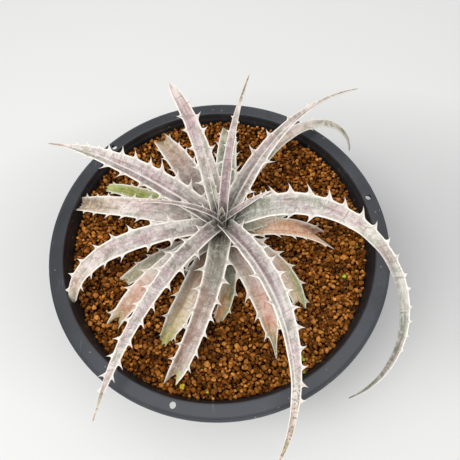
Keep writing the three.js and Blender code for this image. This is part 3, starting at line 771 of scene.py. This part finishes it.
        "left": (24, 66, 4), "right": (30, 72, 4), "tooth": 5, "torn": (2, -3, 4, 3),
        "tones": ((0, (150, 152, 140)), (0.3, (176, 176, 166)), (0.55, (196, 186, 178)), (0.7, (204, 172, 154)),
                  (0.88, (198, 156, 128)), (1, (150, 142, 80)))},
    "leaf_old_front_left": {
        "height": 10, "heading": 243, "sweep": -9, "rise": 6, "droop": 24, "length": 68,
        "wide": ((0, 14), (0.5, 14), (0.8, 12.4), (1, 7)),
        "left": (24, 66, 4), "right": (26, 70, 4), "tooth": 4.6, "torn": (-2, 3, -1, 4), "fold": 0.45, "keel": 0.34,
        "shade": (1, 0.38), "groove": 0.8, "grooveTone": (142, 108, 76), "grooveSpan": (0.1, 0.9), "grooveWide": 0.3,
        "tones": ((0, (112, 98, 80)), (0.3, (168, 148, 128)), (0.6, (226, 210, 186)), (0.85, (204, 188, 140)),
                  (1, (190, 192, 88)))},
    "leaf_old_back_left": {
        "height": 10, "heading": 115.3, "sweep": 10.7, "rise": 4, "droop": 18, "length": 80,
        "wide": ((0, 15), (0.5, 15.5), (0.8, 13.4), (1, 9)),
        "left": (24, 70, 5), "right": (28, 74, 6), "tooth": 3.8, "torn": (2, -2, 1, 3),
        "tones": ((0, (134, 128, 126)), (0.5, (152, 142, 140)), (0.78, (186, 158, 140)), (0.9, (180, 158, 130)),
                  (1, (150, 132, 92)))},
    "leaf_old_back": {
        "slot": "leaf_grey_green", "height": 10, "heading": 85, "rise": 4, "droop": 19, "length": 76,
        "wide": ((0, 13), (0.5, 13), (0.8, 11.6), (1, 8)),
        "left": (24, 68, 5), "right": (24, 70, 5), "tooth": 3.6, "torn": (1, -1, 2, 3),
        "tones": ((0, (128, 130, 126)), (0.5, (146, 146, 140)), (0.85, (180, 172, 148)), (1, (164, 136, 96)))},
    "leaf_old_front": {
        "height": 8, "heading": 275.5, "sweep": -38, "rise": 4, "droop": 12, "length": 50,
        "wide": ((0, 9), (0.5, 9), (0.8, 7.6), (1, 5)),
        "left": (20, 44, 3), "right": (22, 46, 3), "tooth": 3.4, "torn": (-1, 1, 0, 2),
        "stainAndShade": {"side": -1, "tone": (146, 168, 104), "share": 0.8, "start": 0.5, "inner": 0, "dull": 0.3},
        "tones": ((0, (130, 134, 120)), (0.5, (164, 166, 152)), (0.64, (184, 170, 138)), (0.75, (214, 156, 106)),
                  (1, (222, 172, 116)))},
    "leaf_old_right_back": {
        "slot": "leaf_green", "height": 8, "heading": 18, "rise": 4, "droop": 10, "length": 60,
        "wide": ((0, 10), (0.5, 10), (0.75, 8), (0.9, 4), (1, 1)),
        "left": (26, 52, 5), "right": (18, 48, 4), "tooth": 4, "lean": 2,
        "tones": ((0, (146, 156, 122)), (0.6, (168, 172, 126)), (1, (150, 150, 84)))},
    "leaf_old_right_dry": {
        "slot": "leaf_dry", "height": 8, "heading": 3, "sweep": -30, "rise": 8, "droop": 27, "length": 59,
        "wide": ((0, 11), (0.6, 11), (0.85, 9.5), (1, 7)),
        "left": (26, 50, 2), "right": (18, 54, 5), "tooth": 3, "torn": (-3, -7, 8, 3),
        "stainAndShade": {"side": -1, "tone": (104, 60, 32), "share": 0.95, "start": 0.68, "inner": -0.3, "dull": 0.4},
        "tones": ((0, (196, 196, 170)), (0.28, (228, 214, 186)), (0.4, (242, 208, 182)), (0.62, (238, 190, 158)),
                  (0.8, (226, 182, 148)), (0.92, (206, 168, 134)), (1, (180, 150, 124)))},
    "leaf_old_left": {
        "slot": "leaf_green", "height": 8, "heading": 148, "sweep": 19, "rise": 4, "droop": 10, "length": 76,
        "wide": ((0, 9), (0.6, 9), (0.85, 8), (1, 5)),
        "left": (24, 70, 5), "right": (26, 72, 5), "tooth": 3, "torn": (0, 1, 0, 2),
        "tones": ((0, (146, 152, 112)), (0.6, (164, 170, 104)), (1, (180, 182, 104)))},
    "leaf_old_right_under": {
        "height": 6, "heading": 305, "rise": 3, "droop": 7, "length": 64,
        "wide": ((0, 10), (0.5, 10), (0.7, 8.6), (0.82, 5), (0.88, 2), (0.94, 1.2), (1, 0.6)),
        "left": (24, 54, 4), "right": (26, 56, 4), "tooth": 3.4,
        "tones": ((0, (130, 128, 110)), (0.6, (160, 138, 104)), (1, (140, 100, 62)))},
    "leaf_old_left_under": {
        "slot": "leaf_grey_green", "height": 6, "heading": 200.5, "sweep": 15, "rise": 3, "droop": 7, "length": 60,
        "wide": ((0, 9.6), (0.6, 9.6), (0.85, 8.6), (1, 6)),
        "left": (22, 46, 4), "right": (24, 48, 4), "tooth": 3.4, "torn": (1, -1, 1, 3),
        "tones": ((0, (150, 154, 142)), (0.6, (176, 176, 162)), (1, (170, 150, 112)))},
}

blade = {
    "across": (0, 0.14, 0.34, 0.55, 0.74, 0.87, 0.95, 1),    # v of the points from the middle to an edge
    "out": (0.3, 0.65, 1), "edge": 0.85, "bead": 0.34,    # points of the margin, its thickness and its own width
    "beside": (0, 0.12, 0.32, 0.6, 1.0, 1.6),    # rows beside a tooth
    "before": 4.2, "after": 2.4, "usualTooth": 4.5, "toothLean": 8, "toothLift": (-8, 14),
    "footWider": 0.12, "footLength": 22, "sheath": 8, "sheathFrom": 0.35, "rootStep": 0.5,
    "tipLength": 2.2, "tornLength": 12, "thinLength": 10, "leastHalf": 0.28,
    "waver": 0.34, "ripple": 0.16, "wander": 0.3, "cream": (250, 244, 232),
}


def along(stops, share):
    # the value at this share, from (share, value) pairs
    for (low, a), (high, b) in zip(stops, stops[1:]):
        if share <= high:
            part = max(0, (share - low) / (high - low))
            return blend(a, b, part) if isinstance(a, tuple) else a + (b - a) * part
    return stops[-1][1]


def leafDirections(leaf, place):
    share = max(0, place / leaf["length"])
    heading = math.radians(leaf["heading"] + leaf["sweep"] * share ** leaf["curl"])
    pitch = leaf["rise"] - leaf["droop"] * share
    if place < 0:
        pitch += (80 - pitch) * min(1, -place / blade["sheath"]) ** 0.7
    pitch = math.radians(pitch)
    forward = Vector((math.cos(pitch) * math.cos(heading), math.cos(pitch) * math.sin(heading), math.sin(pitch)))
    right = Vector((math.sin(heading), -math.cos(heading), 0))
    up = right.cross(forward)
    roll = math.radians(along(leaf["roll"], share))
    return forward, right * math.cos(roll) - up * math.sin(roll), up * math.cos(roll) + right * math.sin(roll)


def teethAlong(leaf, side, rnd):
    first, last, count = leaf["left"] if side < 0 else leaf["right"]
    gap = (last - first) / max(1, count - 1)
    teeth = []
    for i in range(count):
        share = i / max(1, count - 1)
        place = first + (last - first) * share * (1 + 0.15 * (1 - share)) + rnd.uniform(-0.1, 0.1) * gap
        size = 0.72 + 0.34 * math.sin(math.pi * min(1, place / leaf["length"] + 0.15))
        size *= 1 - (1 - leaf["toothFade"]) * smooth(0.3, 0.6, place / leaf["length"])
        long = leaf["tooth"] * size * rnd.uniform(0.85, 1.12)
        stout = leaf["stout"] * (0.6 + 0.4 * size)
        usual = blade["usualTooth"]
        teeth.append({
            "place": place, "long": long, "stout": stout,
            "before": max(stout * 2.2, min(blade["before"], 0.6 * gap) * long / usual),
            "after": max(stout * 2, min(blade["after"], 0.4 * gap) * long / usual),
            "lean": leaf["lean"] + rnd.uniform(-blade["toothLean"], blade["toothLean"]),
            "lift": rnd.uniform(*blade["toothLift"])})
    return teeth


def edgeReach(teeth, place):
    # how far the margin stands out here, with the tooth that it belongs to
    reach, owner = 0, None
    for tooth in teeth:
        away = place - tooth["place"]
        base = tooth["before"] if away < 0 else tooth["after"]
        if abs(away) < base:
            sharp = math.log(0.5) / math.log(1 - tooth["stout"] / base)
            out = tooth["long"] * (1 - abs(away) / base) ** sharp
            if out > reach:
                reach, owner = out, tooth
    return reach, owner


def rowPlaces(first, leaf, teeth):
    length = leaf["length"]
    count = round((length - first) / leaf["rowStep"])
    peaks = {tooth["place"] for tooth in teeth}
    wanted = [first + (length - first) * i / count for i in range(count + 1)]
    for peak in peaks:
        for away in blade["beside"]:
            wanted += [peak - away, peak + away]
    places = []
    for place in sorted(wanted):
        if not first <= place <= length:
            continue
        if places and place - places[-1] < 0.1:
            if place in peaks or place == length:
                places[-1] = place
        else:
            places.append(place)
    return places


def halfWidth(leaf, place):
    share = place / leaf["length"]
    half = sum(along(leaf["wide"], share + off) for off in (-0.03, 0, 0.03)) / 6
    half = max(half, blade["leastHalf"])
    if not leaf["torn"]:
        half *= 0.1 + 0.9 * math.sqrt(min(1, (leaf["length"] - place) / blade["tipLength"]))
    half *= 1 + blade["footWider"] * (1 - smooth(0, blade["footLength"], max(0, place)))
    if place < 0:
        half *= 1 - 0.35 * min(1, -place / blade["sheath"])
    return half


def makeLeaf(name, leaf, seed, finish):
    rnd = random.Random(seed)
    teeth = {side: teethAlong(leaf, side, rnd) for side in (-1, 1)}
    first = -blade["sheath"] if leaf["wrap"] > blade["sheathFrom"] else 0
    places = rowPlaces(first, leaf, teeth[-1] + teeth[1])
    across = [-v for v in blade["across"][:0:-1]] + list(blade["across"])
    length, keel, fold, stainAndShade = leaf["length"], leaf["keel"], leaf["fold"], leaf["stainAndShade"]
    atLeft, atMiddle, atRight, ragged = leaf["torn"] or (0, 0, 0, 0)
    torn = [atMiddle + ((atLeft if v < 0 else atRight) - atMiddle) * abs(v) ** 1.6
            + ragged * noise.noise(Vector((v * 4.2, seed * 3.7, 1))) for v in across]
    leafTones = [(share, linear(tone)) for share, tone in leaf["tones"]]
    creamy, deep, stainAndShadeTone = linear(blade["cream"]), linear(leaf["grooveTone"]), linear(stainAndShade["tone"])
    shadeSide, shadeShare = leaf["shade"]
    opens, closes = leaf["grooveSpan"]

    start = math.radians(leaf["heading"])
    point = Vector((axisPlace["x"] + leaf["root"] * math.cos(start), axisPlace["y"] + leaf["root"] * math.sin(start),
                    axisPlace["soil"] + leaf["height"]))
    step = blade["rootStep"]
    for i in range(round(-first / step)):
        point -= leafDirections(leaf, -(i + 0.5) * step)[0] * step
    points, tones, rims, coords, grooves = [], [], [], [], []
    before = first

    def add(spot, tone, rim, x, y, inGroove=0):
        points.append(tuple(spot))
        tones.append((*tone, 1))
        rims.append(rim)
        grooves.append(inGroove)
        coords.append((x, y, seed * 13.7))

    for place in places:
        steps = max(1, math.ceil(place - before))
        for i in range(steps):
            middle = before + (place - before) * (i + 0.5) / steps
            point = point + leafDirections(leaf, middle)[0] * ((place - before) / steps)
        before = place
        share = max(0, place / length)
        forward, right, up = leafDirections(leaf, place)
        half = halfWidth(leaf, place)
        cup = leaf["wrap"] * (1 - smooth(-4, blade["footLength"], place))
        thick = leaf["thickness"] + (leaf["tipThickness"] - leaf["thickness"]) * share
        thick = min(thick, half * 1.2)
        if leaf["torn"]:
            thick *= 1 - 0.85 * smooth(length - blade["thinLength"], length, place)
        edge = min(blade["edge"], thick * 0.75)
        foot = smooth(-5, 13, place - 2)
        shaded = [leaf["footTone"] * warm for warm in (1, 0.86, 0.84)]
        own = tuple(c * (part + (1 - part) * foot) for c, part in zip(along(leafTones, share), shaded))
        channel = smooth(opens - 0.05, opens + 0.05, share) * (1 - smooth(closes - 0.22, closes + 0.22, share))
        stainAndShadeShare = stainAndShade["share"] * smooth(stainAndShade["start"] - 0.17, stainAndShade["start"] + 0.17, share)
        endPull = smooth(length - blade["tornLength"], length, place) if leaf["torn"] else 0
        # the pale margin dims toward the foot in the crown's painted shade, and fades at a torn end
        white = (0.45 + 0.55 * foot) * (1 - 0.5 * endPull)

        def section(v, index):
            wave = noise.noise(Vector((seed * 3.1, place * 0.09, v * 0.8))) * blade["waver"] * min(1, half / 4)
            wave += blade["ripple"] * noise.noise(Vector((seed * 1.7, place * 0.35, v * 2.2))) * min(1, half / 3)
            fromKeel = abs(v - keel) / (1 + abs(keel))
            x = half * v * (1 - 0.3 * cup * v * v)
            z = half * (fold * ((1 + abs(keel)) * fromKeel ** 1.25 - 0.45) + cup * (0.8 * v * v - 0.25)) + wave
            x += blade["wander"] * noise.noise(Vector((place * 0.11, seed * 5.3, v))) * min(1, half / 3)
            return point + right * x + up * z + forward * (torn[index] * endPull)

        faceTop, faceBottom = [], []
        for index, v in enumerate(across):
            spot = section(v, index)
            depth = edge + (thick - edge) * (1 - v * v) ** 0.8
            faceTop.append(spot)
            faceBottom.append(spot - up * depth)
        margins = {}
        for side in (-1, 1):
            reach, tooth = edgeReach(teeth[side], place)
            lean = math.radians(tooth["lean"] if tooth else 0)
            slope = fold * (1 if side * keel <= 0 else 0.6) + 1.4 * cup
            lift = math.atan(slope) * 0.8 + math.radians(tooth["lift"] if tooth else 0)
            outward = right * side * math.cos(lift) + up * math.sin(lift)
            edgeSpot = (faceTop[0] + faceBottom[0]) / 2 if side < 0 else (faceTop[-1] + faceBottom[-1]) / 2
            bead = blade["bead"] * min(1, half / 2)
            columns = []
            for f in blade["out"]:
                hook = 0.3 * (reach * f) ** 2 / tooth["long"] * math.copysign(1, lean) if tooth else 0
                centre = edgeSpot + outward * (bead + reach) * f + forward * (math.tan(lean) * reach * f + hook)
                columns.append((centre, edge * (1 - f) ** 0.7 * 0.95, (bead + reach) * f))
            margins[side] = (columns, reach)

        def outer(side, index, sign):
            centre, wide, out = margins[side][0][index]
            inside = (0.6, 0.3, 0)[index] * min(1, margins[side][1] / 2)
            # the margin takes the same side tone: a stain, and on leaf_upper_right painted shade
            stainAndShadeHere = stainAndShadeShare if side == stainAndShade["side"] else 0
            add(centre + up * wide / 2 * sign, blend(own, stainAndShadeTone, stainAndShadeHere),
                white * (1 - inside) * (1 - stainAndShade["dull"] * stainAndShadeHere), side * (half + out), place)

        def faceRow(spots, isTop):
            for index in (range(len(across)) if isTop else reversed(range(len(across)))):
                v = across[index]
                spread = abs(v)
                near = margins[-1 if v < 0 else 1][1]
                rim = 0.95 * white * smooth(0.82, 0.95, spread) * (1 - 0.6 * min(1, near / 2))
                tone = blend(own, creamy, 0.16 * smooth(0.3, 0.9, spread))
                # a thin painted shadow just inside the pale margin
                paintedShade = 0.16 * max(0, 1 - abs(spread - 0.87) / 0.13)
                inGroove = 0
                # the fold's own tone, deepened as painted shade in the crease
                if isTop and leaf["groove"]:
                    beside = abs(v - keel) / leaf["grooveWide"]
                    inGroove = leaf["groove"] * max(0, 1 - beside ** 2) * channel
                    tone = blend(tone, deep, inGroove)
                if isTop and leaf["ridge"] is not None and abs(v - leaf["ridge"]) < 0.05:
                    rim = max(rim, 0.8 * white * (1 - smooth(0.6, 0.9, share)))
                # painted shade on the darker side of the fold
                if shadeSide and (v - keel) * shadeSide > 0.05:
                    paintedShade += shadeShare
                # a real stain on most blades, painted shade on leaf_upper_right
                stainAndShadeHere = stainAndShadeShare * smooth(stainAndShade["inner"], stainAndShade["inner"] + 0.7, v * stainAndShade["side"])
                tone = blend(tone, stainAndShadeTone, stainAndShadeHere)
                rim *= 1 - stainAndShade["dull"] * stainAndShadeHere
                if not isTop:
                    tone = blend(tone, creamy, 0.2)
                add(spots[index], tuple(c * (1 - paintedShade) for c in tone), min(1, rim), half * v, place, inGroove)

        # one loop round the blade: left tip, over the face, right tip, back underneath
        for index, sign in ((2, 0), (1, 1), (0, 1)):
            outer(-1, index, sign)
        faceRow(faceTop, True)
        for index, sign in ((0, 1), (1, 1), (2, 0), (1, -1), (0, -1)):
            outer(1, index, sign)
        faceRow(faceBottom, False)
        for index in (0, 1):
            outer(-1, index, -1)

    around = len(points) // len(places)
    faces = []
    for row in range(len(places) - 1):
        faces += ringFaces(row * around, (row + 1) * around, around)
    for base, flip in ((0, -1), ((len(places) - 1) * around, 1)):
        for i in range(around // 2):
            ends = dict.fromkeys((base + i, base + i + 1, base + (around - i - 1) % around,
                                  base + (around - i) % around))
            faces.append(tuple(ends)[::flip])
    piece = newPiece(name.replace("leaf_", "blade_"), points, faces, finish, leaf["slot"], name)
    paint(piece, "tone", "FLOAT_COLOR", tones)
    paint(piece, "rim", "FLOAT", rims)
    paint(piece, "inGroove", "FLOAT", grooves)
    paint(piece, "leafPlace", "FLOAT_VECTOR", coords)
    paint(piece, "speckled", "FLOAT", [smooth(0, 0.26, y / length - leaf["specks"]) for x, y, z in coords])
    return len(faces)


# cast and shade tint the patches, bloom is the white scurf, and line colours the fine dark cracks across the blade
leafLooks = {
    "leaf_silver": {"cast": (230, 213, 217), "shade": (206, 214, 200), "bloom": (238, 230, 224), "line": (84, 76, 70),
                    "lines": 0.4},
    "leaf_grey_green": {"cast": (226, 216, 204), "shade": (200, 214, 192), "bloom": (216, 214, 200),
                        "line": (72, 74, 62), "lines": 0.28},
    "leaf_green": {"cast": (234, 230, 198), "shade": (220, 228, 186), "bloom": (198, 200, 150), "line": (60, 66, 30),
                   "lines": 0.4},
    "leaf_tan": {"cast": (232, 214, 208), "shade": (214, 214, 200), "bloom": (216, 204, 190), "line": (80, 66, 52),
                 "lines": 0.28},
    "leaf_pink": {"cast": (246, 224, 214), "shade": (226, 222, 206), "bloom": (222, 212, 200), "line": (110, 74, 58),
                  "lines": 0.35},
    "leaf_dry": {"cast": (248, 228, 210), "shade": (236, 224, 206), "bloom": (240, 220, 198), "line": (104, 62, 34),
                 "lines": 0.35},
}


def leafFinish(name, look):
    # leafPlace is across, along and which leaf, so every pattern is drawn out along its own blade
    finish, tree, shader = newFinish(name)
    place = painted(tree, "leafPlace", "Vector")
    tone = painted(tree, "tone", "Color")
    patches = grainNoise(tree, place, (0.13, 0.06, 1), 2, 0.5)
    greenish = grainNoise(tree, place, (0.2, 0.1, 1.3), 2, 0.5)
    bands = grainNoise(tree, place, (0.1, 0.3, 1), 2, 0.5, 1)
    clouds = grainNoise(tree, place, (0.5, 0.3, 1), 3, 0.6, 0.4)
    streaks = grainNoise(tree, place, (0.9, 0.05, 1), 1)
    scurf = grainNoise(tree, place, (2, 1.8, 1), 3, 0.6)
    colour = mixed(tree, between(tree, patches, 0.44, 0.6), tone, linear(look["cast"]), "MULTIPLY")
    colour = mixed(tree, between(tree, greenish, 0.5, 0.64), colour, linear(look["shade"]), "MULTIPLY")
    for layer, low, high, share, tint in (
            (bands, 0.52, 0.68, 0.22, "bloom"), (clouds, 0.52, 0.7, 0.35, "bloom"),
            (streaks, 0.54, 0.72, 0.25, "bloom"), (scurf, 0.5, 0.64, 0.22, "bloom"),
            (clouds, 0.48, 0.3, 0.42, "line"), (streaks, 0.47, 0.3, 0.24, "line"), (scurf, 0.46, 0.34, 0.3, "line")):
        colour = tinted(tree, colour, layer, low, high, share, look[tint])

    # cracks where a slow noise passes its middle value, and specks that come with the share of the length
    dark = linear(look["line"])
    wavy = grainNoise(tree, place, (0.07, 0.17, 1.7), 1, 0.5, 0.5)
    crack = maths(tree, "ABSOLUTE", maths(tree, "SUBTRACT", wavy, 0.5))
    crack = times(tree, between(tree, crack, 0.005, 0.02, 1, 0), between(tree, clouds, 0.4, 0.52))
    colour = mixed(tree, times(tree, crack, look["lines"]), colour, dark)
    spots = between(tree, cells(tree, place, (0.8, 0.6, 1))["Distance"], 0.3, 0.42, 1, 0)
    spots = times(tree, spots, between(tree, bands, 0.42, 0.55))
    colour = mixed(tree, times(tree, spots, times(tree, painted(tree, "speckled"), 0.9)), colour, dark)
    bare = times(tree, painted(tree, "inGroove"), between(tree, scurf, 0.3, 0.6, 0.9, 0.6))
    colour = mixed(tree, bare, colour, tone)
    cream = linear(blade["cream"])
    horn = mixed(tree, between(tree, scurf, 0.4, 0.6), cream, [c * 0.85 for c in cream])
    colour = mixed(tree, painted(tree, "rim"), colour, horn)
    height = maths(tree, "ADD", times(tree, streaks, 1.1), times(tree, clouds, 0.8))
    height = maths(tree, "SUBTRACT", height, times(tree, crack, 0.8))
    feed(tree, shader, {"Base Color": colour, "Roughness": between(tree, scurf, 0.3, 0.7, 0.62, 0.88),
                        "Specular IOR Level": 0.35, "Sheen Weight": 0.1, "Sheen Roughness": 0.6,
                        "Normal": relief(tree, height, 0.4, 0.7)})
    return finish


def makeLeaves():
    finishes = {name: leafFinish(name + "_skin", look) for name, look in leafLooks.items()}
    total = 0
    for seed, (name, own) in enumerate(leaves.items(), 1):
        leaf = {**plainLeaf, **kinds[name.split("_")[1]], **own}
        total += makeLeaf(name, leaf, seed, finishes[leaf["slot"]])
    print("leaves", len(leaves), "faces", total)


makeLeaves()
print("leaves done")
